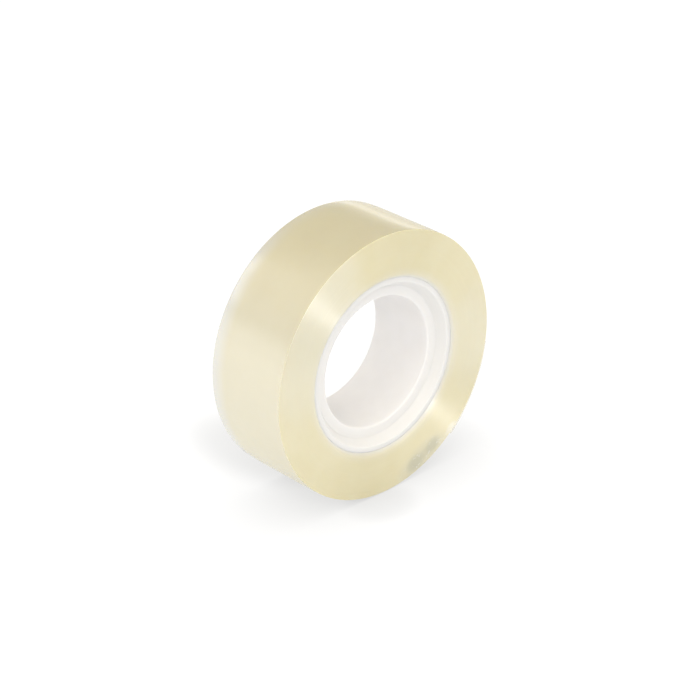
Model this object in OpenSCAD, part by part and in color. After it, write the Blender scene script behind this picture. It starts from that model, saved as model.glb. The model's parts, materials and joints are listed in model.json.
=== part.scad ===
// Roll of clear adhesive tape on a plastic core, standing on its rim.
// Frame: origin at the centre of the roll, +Y along the roll's axis, +Z up.
// The face at -Y is the near face. Angles are measured from +X towards +Z.

/* [Roll] */
// Outside diameter of the full roll
roll_d = 52; // [40:0.5:66]
// Width of the tape
tape_w = 18; // [12:0.5:25]
// Thickness of one layer of tape, film and adhesive together
tape_t = 0.04; // [0.03:0.005:0.08]

/* [Core] */
// Outside diameter of the core, which the first turn is stuck to
core_d = 33.8; // [30:0.1:36]
// Diameter of the bore that slides over a dispenser's hub
bore_d = 25.4; // [20:0.1:26]
// Length of the core from rim to rim
core_len = 17.8; // [12:0.1:25]
// How far the core's near rim sits inside the near face of the tape
rim_inset = 0.6; // [0:0.1:1]
// Width of the flat rim at each end of the core
rim_w = 1.0; // [0.5:0.1:1.5]
// Depth of the sloping mouth at each end of the core
mouth_depth = 1.8; // [1:0.1:3]
// Width of the flat step between the sloping mouth and the bore
step_w = 2.0; // [0.5:0.1:2]

/* [Free end] */
// Angle at which the free end leaves the roll
root_deg = -8; // [-20:1:0]
// Angle that the free end covers
end_span = 42; // [20:1:45]
// How far the tip of the free end stands off the roll
tip_lift = 0.35; // [0.1:0.05:0.8]
// Length of the tip that is folded under to make a tab
fold_len = 3; // [1:0.5:5]

/* [Hidden] */

roll_r = roll_d / 2;
core_r = core_d / 2;
bore_r = bore_d / 2;
near_y = -tape_w / 2 + rim_inset;
far_y = near_y + core_len;
mouth_r = core_r - rim_w;
step_r = bore_r + step_w;

// clearance under the free end, and at its root and tip
gap = 0.03;
root_gap = atan(0.03 / roll_r);
pocket_span = end_span + 2;

// The free end springs to a slightly larger radius than the roll, which
// lifts its tip: lift = s^2 / 2 * (1 / roll_r - 1 / end_r), s = arc length.
end_s = roll_r * end_span * PI / 180;
end_r = 1 / (1 / roll_r - 2 * tip_lift / (end_s * end_s));
end_deg = end_span * roll_r / end_r;
fold_deg = fold_len / end_r * 180 / PI;

$fn = 180;

// turns the children's Z axis onto the roll's axis; an angle a in the
// children's XY plane becomes -a in the roll's XZ plane
module along_axis() rotate([-90, 0, 0]) children();

module ring_sector(r0, r1, a0, span, w)
    rotate([0, 0, a0])
        rotate_extrude(angle = span)
            translate([r0, -w / 2]) square([r1 - r0, w]);

// injection-moulded core: bore, a flat step, a sloping mouth and a rim at
// each end, with small chamfers on the rims' outer edges
module core() {
    c = 0.15;
    color([0.95, 0.95, 0.94])
    along_axis()
    rotate_extrude()
        polygon([
            [bore_r, near_y + mouth_depth + c],
            [bore_r + c, near_y + mouth_depth],
            [step_r, near_y + mouth_depth],
            [mouth_r, near_y],
            [core_r - c, near_y],
            [core_r, near_y + c],
            [core_r, far_y - c],
            [core_r - c, far_y],
            [mouth_r, far_y],
            [step_r, far_y - mouth_depth],
            [bore_r + c, far_y - mouth_depth],
            [bore_r, far_y - mouth_depth - c],
        ]);
}

// all the turns of tape that lie on the core, with the seat in the outer
// turn that the free end lies in
module wound_tape() {
    color([0.91, 0.88, 0.76])
    along_axis()
    difference() {
        rotate_extrude()
            translate([core_r, -tape_w / 2]) square([roll_r - core_r, tape_w]);
        ring_sector(roll_r - tape_t - gap, roll_r + 1, -root_deg, pocket_span, tape_w + 2);
    }
}

// last stretch of the strip: it bends where it leaves the roll, and its tip
// is folded under to make a tab
module free_end() {
    color([0.93, 0.91, 0.84])
    along_axis()
    rotate([0, 0, -root_deg])
    translate([roll_r - end_r, 0, 0]) {
        ring_sector(end_r - tape_t, end_r, root_gap, end_deg - root_gap, tape_w);
        ring_sector(end_r - 2 * tape_t, end_r, end_deg - fold_deg, fold_deg, tape_w);
    }
}

core();
wound_tape();
free_end();
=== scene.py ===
import bpy, bmesh, json, math, random
from mathutils import Matrix, Vector


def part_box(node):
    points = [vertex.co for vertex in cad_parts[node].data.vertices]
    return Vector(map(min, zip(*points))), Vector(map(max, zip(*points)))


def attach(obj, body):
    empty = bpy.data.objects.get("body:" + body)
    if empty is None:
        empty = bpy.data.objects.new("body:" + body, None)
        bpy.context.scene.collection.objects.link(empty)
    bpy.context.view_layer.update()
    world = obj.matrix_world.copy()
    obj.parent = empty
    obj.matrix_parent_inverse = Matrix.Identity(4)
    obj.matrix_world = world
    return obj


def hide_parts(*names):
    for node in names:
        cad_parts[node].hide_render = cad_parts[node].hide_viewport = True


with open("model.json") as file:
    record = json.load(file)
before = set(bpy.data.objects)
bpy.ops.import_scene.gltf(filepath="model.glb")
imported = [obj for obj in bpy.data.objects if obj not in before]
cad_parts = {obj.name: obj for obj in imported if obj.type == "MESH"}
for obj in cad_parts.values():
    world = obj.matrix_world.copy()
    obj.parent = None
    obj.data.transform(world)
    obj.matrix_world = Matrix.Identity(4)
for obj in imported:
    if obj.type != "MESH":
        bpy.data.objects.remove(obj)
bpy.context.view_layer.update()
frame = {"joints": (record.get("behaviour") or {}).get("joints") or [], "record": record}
scene = bpy.context.scene

# ------------------------------------------------------------------ the frame
MM = 0.001
lo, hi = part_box("wound_tape")
clo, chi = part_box("core")
flo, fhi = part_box("free_end")
R = hi.z                       # outside radius of the roll
Y0, Y1 = lo.y, hi.y            # near and far side faces of the tape
CORE_R = chi.z                 # outside radius of the core
CY0, CY1 = clo.y, chi.y        # near and far rims of the core
BORE_R = [m for m in frame["record"]["mounts"] if m["name"] == "core_bore"][0]["dims"]["r_mm"] * MM
HINGE = [j for j in frame["joints"] if j["name"] == "free_end_peel"][0]["pos_m"]
ROOT = math.atan2(HINGE[2], HINGE[0])           # where the free end leaves the roll
FLOOR = lo.z

# ----------------------------------------------------------------- the camera
cam_data = bpy.data.cameras.new("camera")
cam_data.lens = 119.1
cam_data.sensor_width = 36.0
cam_data.clip_start = 0.01
cam = bpy.data.objects.new("camera", cam_data)
scene.collection.objects.link(cam)
az, el = math.radians(-42.83), math.radians(26.72)
back = Vector((math.sin(az) * math.cos(el), -math.cos(az) * math.cos(el), math.sin(el)))
right = Vector((math.cos(az), math.sin(az), 0))
up = back.cross(right)
eye = Vector((-9.9022, -10.6543, 7.3237)) * R
cam.matrix_world = Matrix((
    (right.x, up.x, back.x, eye.x),
    (right.y, up.y, back.y, eye.y),
    (right.z, up.z, back.z, eye.z),
    (0, 0, 0, 1)))
scene.camera = cam
scene.view_settings.view_transform = "Standard"
scene.view_settings.look = "None"

# ----------------------------------------------------------------- node tools
class Nodes:
    """Short names for building a material's nodes."""

    def __init__(self, name):
        self.mat = bpy.data.materials.new(name)
        self.mat.use_nodes = True
        self.nt = self.mat.node_tree
        self.nt.nodes.clear()
        self.out = self.nt.nodes.new("ShaderNodeOutputMaterial")

    def new(self, kind, **props):
        n = self.nt.nodes.new("ShaderNode" + kind)
        for k, v in props.items():
            setattr(n, k, v)
        return n

    def put(self, socket, value):
        if isinstance(value, bpy.types.NodeSocket):
            self.nt.links.new(value, socket)
        else:
            socket.default_value = value

    def math(self, op, a, b=None, c=None, clamp=False):
        n = self.new("Math", operation=op, use_clamp=clamp)
        for i, v in enumerate((a, b, c)):
            if v is not None:
                self.put(n.inputs[i], v)
        return n.outputs[0]

    def map(self, v, a, b, c=0.0, d=1.0, smooth=False):
        n = self.new("MapRange", interpolation_type="SMOOTHSTEP" if smooth else "LINEAR", clamp=True)
        for i, x in enumerate((v, a, b, c, d)):
            self.put(n.inputs[i], x)
        return n.outputs[0]

    def mix(self, fac, a, b, blend="MIX"):
        n = self.new("Mix", data_type="RGBA", blend_type=blend)
        self.put(n.inputs[0], fac)
        for i, v in ((6, a), (7, b)):
            self.put(n.inputs[i], (*v, 1.0) if isinstance(v, tuple) and len(v) == 3 else v)
        return n.outputs[2]

    def noise(self, vec, scale, detail=3.0, rough=0.5, dims="3D", w=None, dist=0.0):
        n = self.new("TexNoise", noise_dimensions=dims)
        if vec is not None:
            self.put(n.inputs["Vector"], vec)
        if w is not None:
            self.put(n.inputs["W"], w)
        n.inputs["Scale"].default_value = scale
        n.inputs["Detail"].default_value = detail
        n.inputs["Roughness"].default_value = rough
        n.inputs["Distortion"].default_value = dist
        return n.outputs["Fac"]

    def bump(self, height, strength, distance, normal=None):
        n = self.new("Bump")
        n.inputs["Strength"].default_value = strength
        n.inputs["Distance"].default_value = distance
        self.put(n.inputs["Height"], height)
        if normal is not None:
            self.put(n.inputs["Normal"], normal)
        return n.outputs["Normal"]

    def vec(self, x, y, z):
        n = self.new("CombineXYZ")
        for i, v in enumerate((x, y, z)):
            self.put(n.inputs[i], v)
        return n.outputs[0]

    def coords(self):
        """Object position, its x, y, z in millimetres, and the radius and angle round the roll's axis."""
        tc = self.new("TexCoord")
        s = self.new("SeparateXYZ")
        self.put(s.inputs[0], tc.outputs["Object"])
        x, y, z = (self.math("MULTIPLY", s.outputs[i], 1000.0) for i in range(3))
        r = self.math("SQRT", self.math("ADD", self.math("MULTIPLY", x, x), self.math("MULTIPLY", z, z)))
        th = self.math("ARCTAN2", z, x)
        return self.vec(x, y, z), x, y, z, r, th

    def blob(self, x, z, cx, cz, dx, dz, rot=0.0, power=1.0):
        """1 at a point of the side face, falling to 0 over an ellipse, in millimetres."""
        c, s = math.cos(rot), math.sin(rot)
        ax, az_ = self.math("SUBTRACT", x, cx), self.math("SUBTRACT", z, cz)
        u = self.math("DIVIDE", self.math("ADD", self.math("MULTIPLY", ax, c), self.math("MULTIPLY", az_, s)), dx)
        v = self.math("DIVIDE", self.math("SUBTRACT", self.math("MULTIPLY", az_, c), self.math("MULTIPLY", ax, s)), dz)
        d = self.math("ADD", self.math("MULTIPLY", u, u), self.math("MULTIPLY", v, v))
        return self.map(d, 0.0, 1.0, 1.0, 0.0, smooth=True)


def rgb(r, g, b):
    """sRGB 0-255 to linear."""
    f = lambda c: c / 12.92 if c <= 0.04045 else ((c + 0.055) / 1.055) ** 2.4
    return tuple(f(c / 255) for c in (r, g, b))


# ------------------------------------------------------------------ materials
def mat_side():
    """Edges of the turns: clear film seen deep through its own adhesive, finely grooved round the axis."""
    k = Nodes("tape_side")
    v, x, y, z, r, th = k.coords()
    p = k.new("BsdfPrincipled")
    # straw colour, paler where the face shows a painted reflection, and white against the core
    near_core = k.map(r, 16.9, 19.2, 1.0, 0.0, smooth=True)
    at_core = k.map(r, 16.95, 17.6, 1.0, 0.0, smooth=True)
    # painted reflection: paler on the upper left and on the right, where the face mirrors more light and shows the
    # white core through it
    pale_painted_reflection = k.blob(x, z, -16.5, 12.0, 20.0, 12.0, math.radians(70))
    pale_painted_reflection = k.math("ADD", pale_painted_reflection, k.math("MULTIPLY", k.blob(x, z, 22.0, -1.0, 8.0, 14.0), 0.60), clamp=True)
    deep = k.blob(x, z, -5.0, -24.0, 17.0, 9.0)
    soft = k.noise(v, 0.16, 3.0, 0.55)
    base = k.mix(k.map(soft, 0.35, 0.65), (0.802, 0.716, 0.398), (0.832, 0.752, 0.452))
    base = k.mix(k.math("MULTIPLY", pale_painted_reflection, 0.60), base, (0.825, 0.792, 0.640))
    base = k.mix(k.math("MULTIPLY", deep, 0.10), base, (0.76, 0.660, 0.290))
    base = k.mix(k.math("MULTIPLY", near_core, 0.45), base, (0.845, 0.815, 0.705))
    base = k.mix(k.math("MULTIPLY", at_core, 0.70), base, (0.86, 0.84, 0.785))
    # where the free end lies the outer turns hold air: a cloudy patch with flecks
    cloud = k.blob(x, z, 9.6, -22.9, 8.5, 4.2, math.radians(24))
    base = k.mix(k.math("MULTIPLY", cloud, 0.45), base, (0.56, 0.545, 0.41))
    for cx_, cz_, a_, rot_, w_ in ((12.15, -20.6, 2.4, 31, 0.50), (7.7, -22.9, 2.9, 19, 0.55), (10.2, -21.6, 1.8, 26, 0.25)):
        base = k.mix(k.math("MULTIPLY", k.blob(x, z, cx_, cz_, a_, a_ * 0.75, math.radians(rot_)), w_), base, (0.40, 0.395, 0.255))
    fleck = k.math("MULTIPLY", k.map(k.noise(v, 1.5, 3.0, 0.6), 0.58, 0.66), cloud)
    base = k.mix(k.math("MULTIPLY", fleck, 0.55), base, (0.86, 0.85, 0.80))
    patch = k.blob(x, z, 16.9, -18.8, 2.0, 1.2, math.radians(42))
    base = k.mix(k.math("MULTIPLY", patch, 0.45), base, (0.88, 0.87, 0.83))
    rings = k.noise(None, 5.0, 6.0, 0.7, dims="1D", w=k.math("ADD", r, k.math("MULTIPLY", soft, 0.05)))
    base = k.mix(k.math("MULTIPLY", k.map(rings, 0.35, 0.7), 0.14), base, (0.82, 0.75, 0.54))
    k.put(p.inputs["Base Color"], base)
    k.put(p.inputs["Roughness"], k.map(rings, 0.3, 0.7, 0.46, 0.54))
    p.inputs["IOR"].default_value = 2.35
    p.inputs["Specular IOR Level"].default_value = 1.0
    p.inputs["Anisotropic"].default_value = 1.0
    p.inputs["Anisotropic Rotation"].default_value = 0.25
    tan = k.new("Tangent", direction_type="RADIAL", axis="Y")
    k.put(p.inputs["Tangent"], tan.outputs[0])
    p.inputs["Subsurface Weight"].default_value = 0.3
    p.inputs["Subsurface Radius"].default_value = (1.0, 0.85, 0.5)
    p.inputs["Subsurface Scale"].default_value = 0.0008
    fine = k.noise(None, 9.0, 4.0, 0.6, dims="1D", w=r)
    k.put(p.inputs["Normal"], k.bump(fine, 0.25, 0.00002))
    k.put(k.out.inputs[0], p.outputs[0])
    return k.mat


def mat_rim():
    """Outer turn: smooth clear film over the winding."""
    k = Nodes("tape_rim")
    v, x, y, z, r, th = k.coords()
    p = k.new("BsdfPrincipled")
    soft = k.noise(v, 0.12, 3.0, 0.55)
    base = k.mix(k.map(soft, 0.35, 0.65), (0.755, 0.682, 0.440), (0.775, 0.706, 0.466))
    # painted highlight: the far edge is whitened, most on the left, where light from behind shines through the corner
    far_edge_painted_highlight = k.math("MULTIPLY", k.map(y, 5.0, 8.9, 0.0, 0.80, smooth=True), k.map(x, -8.0, -16.0, 0.35, 1.0))
    base = k.mix(far_edge_painted_highlight, base, (0.78, 0.785, 0.745))
    k.put(p.inputs["Base Color"], base)
    streak = k.noise(k.vec(k.math("MULTIPLY", th, 3.0), k.math("MULTIPLY", y, 1.5), 0.0), 1.0, 4.0, 0.6)
    k.put(p.inputs["Roughness"], k.map(streak, 0.3, 0.7, 0.10, 0.16))
    p.inputs["IOR"].default_value = 1.48
    p.inputs["Subsurface Weight"].default_value = 0.3
    p.inputs["Subsurface Radius"].default_value = (1.0, 0.85, 0.5)
    p.inputs["Subsurface Scale"].default_value = 0.0008
    p.inputs["Specular IOR Level"].default_value = 0.0
    p.inputs["Coat Weight"].default_value = 1.0
    p.inputs["Coat Roughness"].default_value = 0.11
    p.inputs["Coat IOR"].default_value = 4.0
    k.put(p.inputs["Normal"], k.bump(soft, 0.05, 0.0002))
    k.put(k.out.inputs[0], p.outputs[0])
    return k.mat


def mat_core():
    """White, slightly milky moulded plastic."""
    k = Nodes("core_plastic")
    v, x, y, z, r, th = k.coords()
    p = k.new("BsdfPrincipled")
    soft = k.noise(v, 0.25, 3.0, 0.5)
    base = k.mix(k.map(soft, 0.35, 0.65), (0.888, 0.870, 0.858), (0.906, 0.890, 0.880))
    # painted shade: the mouths and rims are coloured greyer than the bore
    mouth_painted_shade = k.map(k.math("ABSOLUTE", k.math("SUBTRACT", y, 0.5)), 6.9, 7.2)
    base = k.mix(mouth_painted_shade, base, (0.828, 0.818, 0.800))
    k.put(p.inputs["Base Color"], base)
    grain = k.noise(v, 6.0, 4.0, 0.6)
    k.put(p.inputs["Roughness"], k.map(grain, 0.3, 0.7, 0.34, 0.46))
    p.inputs["IOR"].default_value = 1.5
    p.inputs["Specular IOR Level"].default_value = 0.3
    p.inputs["Subsurface Weight"].default_value = 0.5
    p.inputs["Subsurface Radius"].default_value = (1.0, 0.95, 0.85)
    p.inputs["Subsurface Scale"].default_value = 0.0012
    k.put(p.inputs["Normal"], k.bump(grain, 0.12, 0.00003))
    k.put(k.out.inputs[0], p.outputs[0])
    return k.mat


def mat_film():
    """One layer of clear film: mostly see-through, with a film's own mirror."""
    k = Nodes("clear_film")
    v, x, y, z, r, th = k.coords()
    p = k.new("BsdfPrincipled")
    wave = k.noise(v, 0.5, 3.0, 0.5)
    k.put(p.inputs["Base Color"], k.mix(k.map(wave, 0.3, 0.7), (0.95, 0.93, 0.86), (0.97, 0.955, 0.90)))
    k.put(p.inputs["Roughness"], k.map(wave, 0.3, 0.7, 0.08, 0.16))
    p.inputs["IOR"].default_value = 1.48
    k.put(p.inputs["Normal"], k.bump(wave, 0.1, 0.0001))
    t = k.new("BsdfTransparent")
    t.inputs[0].default_value = (0.985, 0.975, 0.94, 1)
    # a film's mirror, the same on both of its faces
    f = k.new("LayerWeight")
    f.inputs["Blend"].default_value = 0.5
    m = k.new("MixShader")
    k.put(m.inputs[0], k.math("ADD", k.math("MULTIPLY", k.math("POWER", f.outputs["Facing"], 5.0), 0.75), 0.17, clamp=True))
    k.put(m.inputs[1], t.outputs[0])
    k.put(m.inputs[2], p.outputs[0])
    k.put(k.out.inputs[0], m.outputs[0])
    return k.mat


# ------------------------------------------------------------------- geometry
def add_object(name, bm, mats, smooth_deg=35):
    mesh = bpy.data.meshes.new(name)
    bm.normal_update()
    bm.to_mesh(mesh)
    bm.free()
    for m in mats:
        mesh.materials.append(m)
    o = bpy.data.objects.new(name, mesh)
    scene.collection.objects.link(o)
    mesh.shade_smooth()
    mesh.set_sharp_from_angle(angle=math.radians(smooth_deg))
    return o


def lathe(name, rings, angles, place, mats, slots, smooth_deg=35):
    """A closed body of revolution. rings is how many points the closed profile has, place(i, theta) gives
    point i at an angle, and slots[i] is the material of the band from ring i to the next."""
    bm = bmesh.new()
    grid = [[bm.verts.new(place(i, t)) for i in range(rings)] for t in angles]
    n = len(angles)
    for a in range(n):
        g, h = grid[a], grid[(a + 1) % n]
        for i in range(rings):
            j = (i + 1) % rings
            f = bm.faces.new((g[i], g[j], h[j], h[i]))
            f.material_index = slots[i]
    bmesh.ops.recalc_face_normals(bm, faces=bm.faces)
    return add_object(name, bm, mats, smooth_deg)


def smooth_random(seed, n, step):
    """A smooth random function of one number, from n seeded values spaced by step."""
    rnd = random.Random(seed)
    vals = [rnd.uniform(-1, 1) for _ in range(n)]

    def f(t):
        t = t / step
        i = int(math.floor(t))
        u = t - i
        u = u * u * (3 - 2 * u)
        return vals[i % n] * (1 - u) + vals[(i + 1) % n] * u
    return f


# the winding: edges of the turns stand in and out by a few hundredths of a millimetre
TWO_PI = 2 * math.pi
SEG = 480
n_a = smooth_random(3, 97, 0.11 * MM)
n_b = smooth_random(5, 61, 0.43 * MM)
n_c = smooth_random(8, 31, 1.7 * MM)
m_a = smooth_random(13, 97, 0.11 * MM)
m_b = smooth_random(15, 61, 0.43 * MM)


def edge_in(r, far):
    """How far the turn at radius r sits inside the side face."""
    a, b = (m_a, m_b) if far else (n_a, n_b)
    return (0.030 + 0.007 * a(r) + 0.008 * b(r) + 0.010 * n_c(r)) * MM


PITCH = 0.0375 * MM
SEAT = 44 * math.pi / 180          # the seat under the free end
SEAT_DEPTH = 0.07 * MM
round_r = 0.20 * MM            # far edge
round_n = 0.08 * MM            # near edge


def outer(theta):
    """Radius of the outer turn: a spiral that runs out under the free end."""
    t = (theta - ROOT) % TWO_PI
    left = TWO_PI - SEAT
    if t <= left:
        return R - PITCH * t / left
    return R - PITCH - (SEAT_DEPTH - PITCH) * (t - left) / SEAT


side_n = 84
EDGE_DROP = 0.09 * MM
def side_rings(rnd):
    last = R - EDGE_DROP - rnd - 0.02 * MM
    return [CORE_R, CORE_R + 0.035 * MM, CORE_R + 0.07 * MM] + [CORE_R + (last - CORE_R) * i / side_n for i in range(1, side_n + 1)]



profile = []                      # (kind, value)
for r_ in side_rings(round_n):
    profile.append(("near", r_))
for i in range(1, 5):
    profile.append(("nearedge", i / 4 * math.pi / 2))
rim_n = 24
for i in range(1, rim_n):
    profile.append(("rim", i / rim_n))
for i in range(0, 4):
    profile.append(("faredge", i / 4 * math.pi / 2))
for r_ in reversed(side_rings(round_r)):
    profile.append(("far", r_))
band = smooth_random(21, 41, 1.1 * MM)


def drop(yy):
    """The roll is crowned: its rim falls away a little towards both edges."""
    e = max(0.0, (abs(yy - (Y0 + Y1) / 2) - 5.0 * MM) / (4.0 * MM))
    return 0.09 * MM * e * e



def wound(i, theta):
    kind, v_ = profile[i]
    ro = outer(theta)
    if kind in ("near", "far"):
        # the outermost rings follow the spiral, the inner ones are round
        w = max(0.0, (v_ - (R - 1.5 * MM)) / (1.5 * MM - round_r))
        rr = v_ + (ro - R) * min(1.0, w)
        wob = 0.004 * MM * math.sin(3 * theta + v_ / MM * 1.3) * (1 if kind == "near" else -1)
        e = edge_in(v_, kind == "far") + wob
        if kind == "near":          # the first turns sink towards the core
            e += 0.58 * MM * max(0.0, 1 - (v_ - CORE_R) / (1.1 * MM)) ** 2
        yy = Y0 + e if kind == "near" else Y1 - e
    elif kind == "nearedge":
        rr = ro - EDGE_DROP - round_n + round_n * math.sin(v_)
        yy = Y0 + round_n * (1 - math.cos(v_)) + 0.006 * MM
    elif kind == "faredge":
        rr = ro - EDGE_DROP - round_r + round_r * math.cos(v_)
        yy = Y1 - round_r * (1 - math.sin(v_)) - 0.006 * MM
    else:
        yy = Y0 + round_n + (Y1 - Y0 - round_n - round_r) * v_
        # thickness bands of the film add up to faint rounds along the rim
        rr = ro - drop(yy) - (0.006 - 0.006 * band(yy - Y0)) * MM * math.sin(math.pi * v_) ** 0.5
    return (rr * math.cos(theta), yy, rr * math.sin(theta))


slots = []
for i in range(len(profile)):
    kind = profile[i][0]
    nxt = profile[(i + 1) % len(profile)][0]
    if kind in ("near", "far") and nxt == kind or kind == "near" or kind == "nearedge" and nxt == "nearedge":
        slots.append(0)
    elif kind == "far" and nxt == "near":
        slots.append(0)
    else:
        slots.append(1)
eps = math.radians(0.03)
angles = sorted([TWO_PI * i / SEG for i in range(SEG)] + [(ROOT - eps) % TWO_PI, (ROOT + eps) % TWO_PI])
M_SIDE, M_RIM, M_CORE, M_FILM = mat_side(), mat_rim(), mat_core(), mat_film()
roll = lathe("tape_winding", len(profile), angles, wound, [M_SIDE, M_RIM], slots, 40)
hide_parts("wound_tape")
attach(roll, "roll")

# the core: one moulding, with the rounded edges a mould gives
mouth_r = CORE_R - 1.0 * MM
step_r = BORE_R + 2.0 * MM
depth = 1.8 * MM


def fillet(pts, radii, n=5):
    """Rounds the corners of a closed outline. radii[i] is the round at point i."""
    res = []
    m = len(pts)
    for i in range(m):
        p, q, s = Vector(pts[i - 1]), Vector(pts[i]), Vector(pts[(i + 1) % m])
        rad = radii[i]
        if rad <= 0:
            res.append(tuple(q))
            continue
        u, w = (p - q).normalized(), (s - q).normalized()
        half = math.acos(max(-1, min(1, u.dot(w)))) / 2
        d = min(rad / math.tan(half), (p - q).length * 0.49, (s - q).length * 0.49)
        rad = d * math.tan(half)
        c = q + (u + w).normalized() * (rad / math.sin(half))
        a, b = q + u * d, q + w * d
        va, vb = a - c, b - c
        ang = va.angle(vb)
        for j in range(n + 1):
            t = j / n
            vv = (va * math.sin((1 - t) * ang) + vb * math.sin(t * ang)) / math.sin(ang)
            res.append(tuple(c + vv))
    return res


def subdivide(pts, longest):
    res = []
    for i in range(len(pts)):
        a, b = Vector(pts[i]), Vector(pts[(i + 1) % len(pts)])
        n = max(1, int(math.ceil((b - a).length / longest)))
        for j in range(n):
            res.append(tuple(a + (b - a) * (j / n)))
    return res


core_pts = [
    (BORE_R, CY0 + depth), (step_r, CY0 + depth), (mouth_r, CY0), (CORE_R, CY0),
    (CORE_R, CY1), (mouth_r, CY1), (step_r, CY1 - depth), (BORE_R, CY1 - depth),
]
core_rad = [0.35 * MM, 0.35 * MM, 0.18 * MM, 0.04 * MM, 0.12 * MM, 0.18 * MM, 0.35 * MM, 0.35 * MM]
outline = subdivide(fillet(core_pts, core_rad, 6), 1.2 * MM)
core = lathe("core_moulding", len(outline), [TWO_PI * i / 256 for i in range(256)],
             lambda i, t: (outline[i][0] * math.cos(t), outline[i][1], outline[i][0] * math.sin(t)),
             [M_CORE], [0] * len(outline), 60)
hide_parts("core")
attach(core, "roll")

# the free end: one layer of film whose tip is folded under
T = 0.04 * MM
SPAN = 42 * math.pi / 180
LIFT = 0.35 * MM
s_len = R * SPAN
end_r = 1 / (1 / R - 2 * LIFT / (s_len * s_len))
end_a = SPAN * R / end_r
cx, cz = (R - end_r) * math.cos(ROOT), (R - end_r) * math.sin(ROOT)
fold_a = 3.0 * MM / end_r
NL, NW = 72, 20
bm = bmesh.new()


def film_point(a, w, depth_):
    """a from the root along the arc, w from 0 to 1 across the width, depth_ below the outer face."""
    t = ROOT - a
    s = a / end_a
    # the tip is a little wavy across its width, where it has been pressed down by hand
    wave = 0.035 * MM * s * s * (0.5 - 0.5 * math.cos(TWO_PI * (1.5 * w + 0.15)))
    rr = end_r - depth_ - wave
    return Vector((cx + rr * math.cos(t), Y0 + (Y1 - Y0) * w, cz + rr * math.sin(t)))


a0 = math.atan(0.03 * MM / R)
strip = []
cols = [a0 + (end_a - a0) * i / NL for i in range(NL + 1)]
# outline of the strip's section, from the root along the top to the tip and back below the fold
top = [(a, 0.0) for a in cols]
under = [(a, 2 * T) for a in reversed(cols) if a > end_a - fold_a]
join = [(end_a - fold_a, 2 * T), (end_a - fold_a, T)]
back_ = [(a, T) for a in reversed(cols) if a < end_a - fold_a]
section = top + under + join + back_
rows = [[bm.verts.new(film_point(a, j / NW, d)) for (a, d) in section] for j in range(NW + 1)]
ns = len(section)
for j in range(NW):
    for i in range(ns):
        k2 = (i + 1) % ns
        bm.faces.new((rows[j][i], rows[j][k2], rows[j + 1][k2], rows[j + 1][i]))
# the two long cut edges of the strip
def near_top(i):
    a = section[i][0]
    return min(range(len(top)), key=lambda q: abs(top[q][0] - a))
for row in (rows[0], rows[NW]):
    for i in range(len(top), ns):
        nxt = (i + 1) % ns
        ti, tj = near_top(i), (near_top(nxt) if nxt != 0 else 0)
        quad = []
        for vtx in (row[i], row[nxt], row[tj], row[ti]):
            if vtx not in quad:
                quad.append(vtx)
        if len(quad) >= 3:
            try:
                bm.faces.new(quad)
            except ValueError:
                pass
bmesh.ops.recalc_face_normals(bm, faces=bm.faces)
film = add_object("free_end_film", bm, [M_FILM], 60)
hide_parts("free_end")
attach(film, "free_end")

# ---------------------------------------------------------------- the studio
def floor_material():
    """White lit table: bright all over, with shade painted in, greyer where something stands close above it."""
    k = Nodes("floor")
    ao = k.new("AmbientOcclusion", samples=24)
    ao.inputs["Distance"].default_value = 0.0165
    lean = k.new("CombineXYZ")
    for i, c in enumerate(Vector((-0.35, 0.20, 1.00)).normalized()):
        lean.inputs[i].default_value = c
    k.put(ao.inputs["Normal"], lean.outputs[0])
    e = k.new("Emission")
    k.put(e.inputs["Color"], k.mix(k.map(ao.outputs["AO"], 0.0, 1.0), (0.655, 0.655, 0.66), (1.0, 1.0, 1.0)))
    pos = k.new("SeparateXYZ")
    k.put(pos.inputs[0], k.new("TexCoord").outputs["Object"])
    # painted shadows of the soft boxes: a wide one behind the roll and a short one in front
    fx, fy = (k.math("MULTIPLY", pos.outputs[i], 1000.0) for i in (0, 1))
    painted_floor_shadow = k.math("ADD", k.math("MULTIPLY", k.blob(fx, fy, -6.0, 20.0, 14.0, 20.0), 0.185),
                   k.math("MULTIPLY", k.blob(fx, fy, -3.5, -11.5, 9.0, 7.5), 0.10))
    # the table is a little greyer in what mirrors it than it is lit
    beyond = k.math("MULTIPLY", k.map(fx, 0.0, 60.0), k.map(fy, -20.0, 20.0))
    mirrored = k.math("ADD", 0.09, k.math("MULTIPLY", beyond, 0.21))
    mirrored = k.math("MULTIPLY", k.new("LightPath").outputs["Is Glossy Ray"], mirrored)
    lit = k.math("MULTIPLY", k.math("SUBTRACT", 1.0, mirrored), k.math("SUBTRACT", 1.0, painted_floor_shadow))
    k.put(e.inputs["Strength"], k.math("MULTIPLY", 0.93, lit))
    d = k.new("BsdfDiffuse")
    d.inputs["Color"].default_value = (0.12, 0.12, 0.12, 1)
    add = k.new("AddShader")
    k.put(add.inputs[0], e.outputs[0])
    k.put(add.inputs[1], d.outputs[0])
    k.put(k.out.inputs[0], add.outputs[0])
    return k.mat


bm = bmesh.new()
bmesh.ops.create_grid(bm, x_segments=2, y_segments=2, size=4.0)
floor = add_object("floor", bm, [floor_material()])
floor.location = (0, 0, FLOOR)

world = bpy.data.worlds.new("studio")
scene.world = world
world.use_nodes = True
wt = world.node_tree
wt.nodes.clear()
wo = wt.nodes.new("ShaderNodeOutputWorld")
bg = wt.nodes.new("ShaderNodeBackground")
tc = wt.nodes.new("ShaderNodeTexCoord")
sx = wt.nodes.new("ShaderNodeSeparateXYZ")
wt.links.new(tc.outputs["Generated"], sx.inputs[0])


def span(value, a, b, c=0.0, d=1.0):
    n = wt.nodes.new("ShaderNodeMapRange")
    n.interpolation_type = "SMOOTHSTEP"
    wt.links.new(value, n.inputs[0])
    for i, x in enumerate((a, b, c, d)):
        n.inputs[i + 1].default_value = x
    return n.outputs[0]


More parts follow.
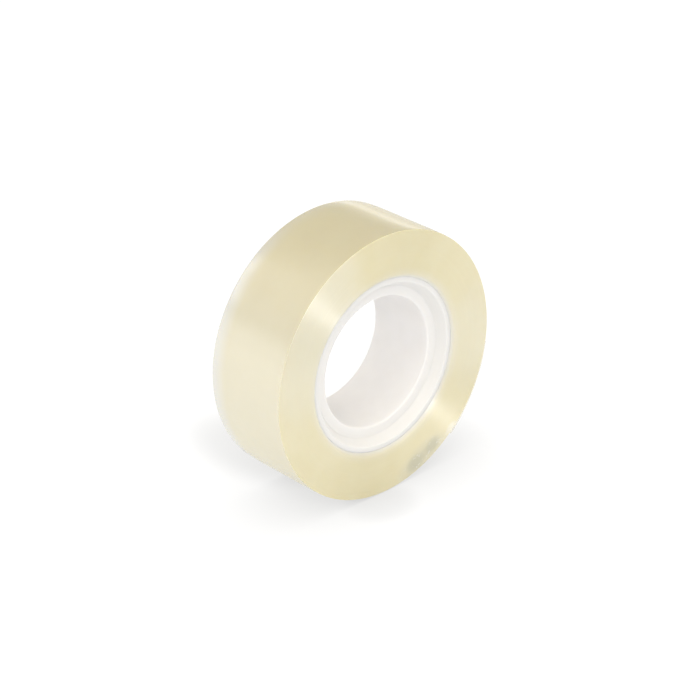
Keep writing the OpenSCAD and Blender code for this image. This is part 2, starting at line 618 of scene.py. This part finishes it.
def two(op, a, b):
    n = wt.nodes.new("ShaderNodeMath")
    n.operation = op
    for i, x in enumerate((a, b)):
        if isinstance(x, bpy.types.NodeSocket):
            wt.links.new(x, n.inputs[i])
        else:
            n.inputs[i].default_value = x
    return n.outputs[0]


def blend(fac, a, b):
    """a where fac is 0, b where it is 1."""
    return two("ADD", two("MULTIPLY", a, two("SUBTRACT", 1.0, fac)), two("MULTIPLY", b, fac))


def along(v):
    n = wt.nodes.new("ShaderNodeVectorMath")
    n.operation = "DOT_PRODUCT"
    wt.links.new(tc.outputs["Generated"], n.inputs[0])
    n.inputs[1].default_value = v
    return n.outputs["Value"]


# behind the roll: white at the horizon, a dark card above it, lighter to the left
card = span(sx.outputs[0], 0.35, -0.60, 0.25, 0.60)
behind = blend(span(sx.outputs[2], 0.06, 0.36), span(sx.outputs[0], 0.20, 0.75, 0.90, 0.62), card)
# a long soft box stands at the card's left end
box_c = Vector((-0.388, 0.786, 0.479)).normalized()
box_u = Vector((-0.767, 0.012, -0.642))
box_u = (box_u - box_c * box_u.dot(box_c)).normalized()
box_w = box_c.cross(box_u)
mask = two("MULTIPLY", span(two("ABSOLUTE", along(box_u), 0.0), 0.14, 0.34, 1.0, 0.0),
           span(two("ABSOLUTE", along(box_w), 0.0), 0.04, 0.135, 1.0, 0.0))
mask = two("MULTIPLY", mask, span(along(box_c), 0.0, 0.2))
behind = blend(mask, behind, 1.0)
# and a low white strip at its right end
low = two("MULTIPLY", span(sx.outputs[2], 0.085, 0.155, 1.0, 0.0), span(sx.outputs[0], 0.50, 0.68))
behind = blend(low, behind, 1.0)
# the rest of the room is white and brightest overhead
room = two("MULTIPLY", span(sx.outputs[2], 0.20, 1.0, 0.46, 1.80), span(sx.outputs[0], -0.20, 0.90, 1.0, 0.76))
light = blend(span(sx.outputs[1], 0.15, 0.50), room, behind)
warm = span(sx.outputs[2], 0.25, 0.80)
tint = wt.nodes.new("ShaderNodeCombineXYZ")
for i, c in enumerate((1.05, 1.0, 0.90)):
    wt.links.new(two("MULTIPLY", light, blend(warm, two("ADD", 1.0, 0.0), two("ADD", c, 0.0))), tint.inputs[i])
wt.links.new(tint.outputs[0], bg.inputs[0])
bg.inputs[1].default_value = 1.0
wt.links.new(bg.outputs[0], wo.inputs[0])


def area(name, direction, dist, width, height, radiance, along=None):
    """A soft box seen from the roll in a direction; along is where its width runs."""
    ld = bpy.data.lights.new(name, "AREA")
    ld.shape = "RECTANGLE" if along else "DISK"
    ld.size = width
    ld.size_y = height
    ld.energy = radiance * math.pi * width * height * (1.0 if along else math.pi / 4)
    o = bpy.data.objects.new(name, ld)
    scene.collection.objects.link(o)
    d = Vector(direction).normalized()
    u = Vector(along or (1, 0, 0))
    u = (u - d * u.dot(d)).normalized()
    w = d.cross(u)
    o.matrix_world = Matrix(((u.x, w.x, d.x, d.x * dist), (u.y, w.y, d.y, d.y * dist), (u.z, w.z, d.z, d.z * dist), (0, 0, 0, 1)))
    return o


area("key", (-0.406, -0.689, 0.60), 0.9, 0.16, 0.16, 25.0)
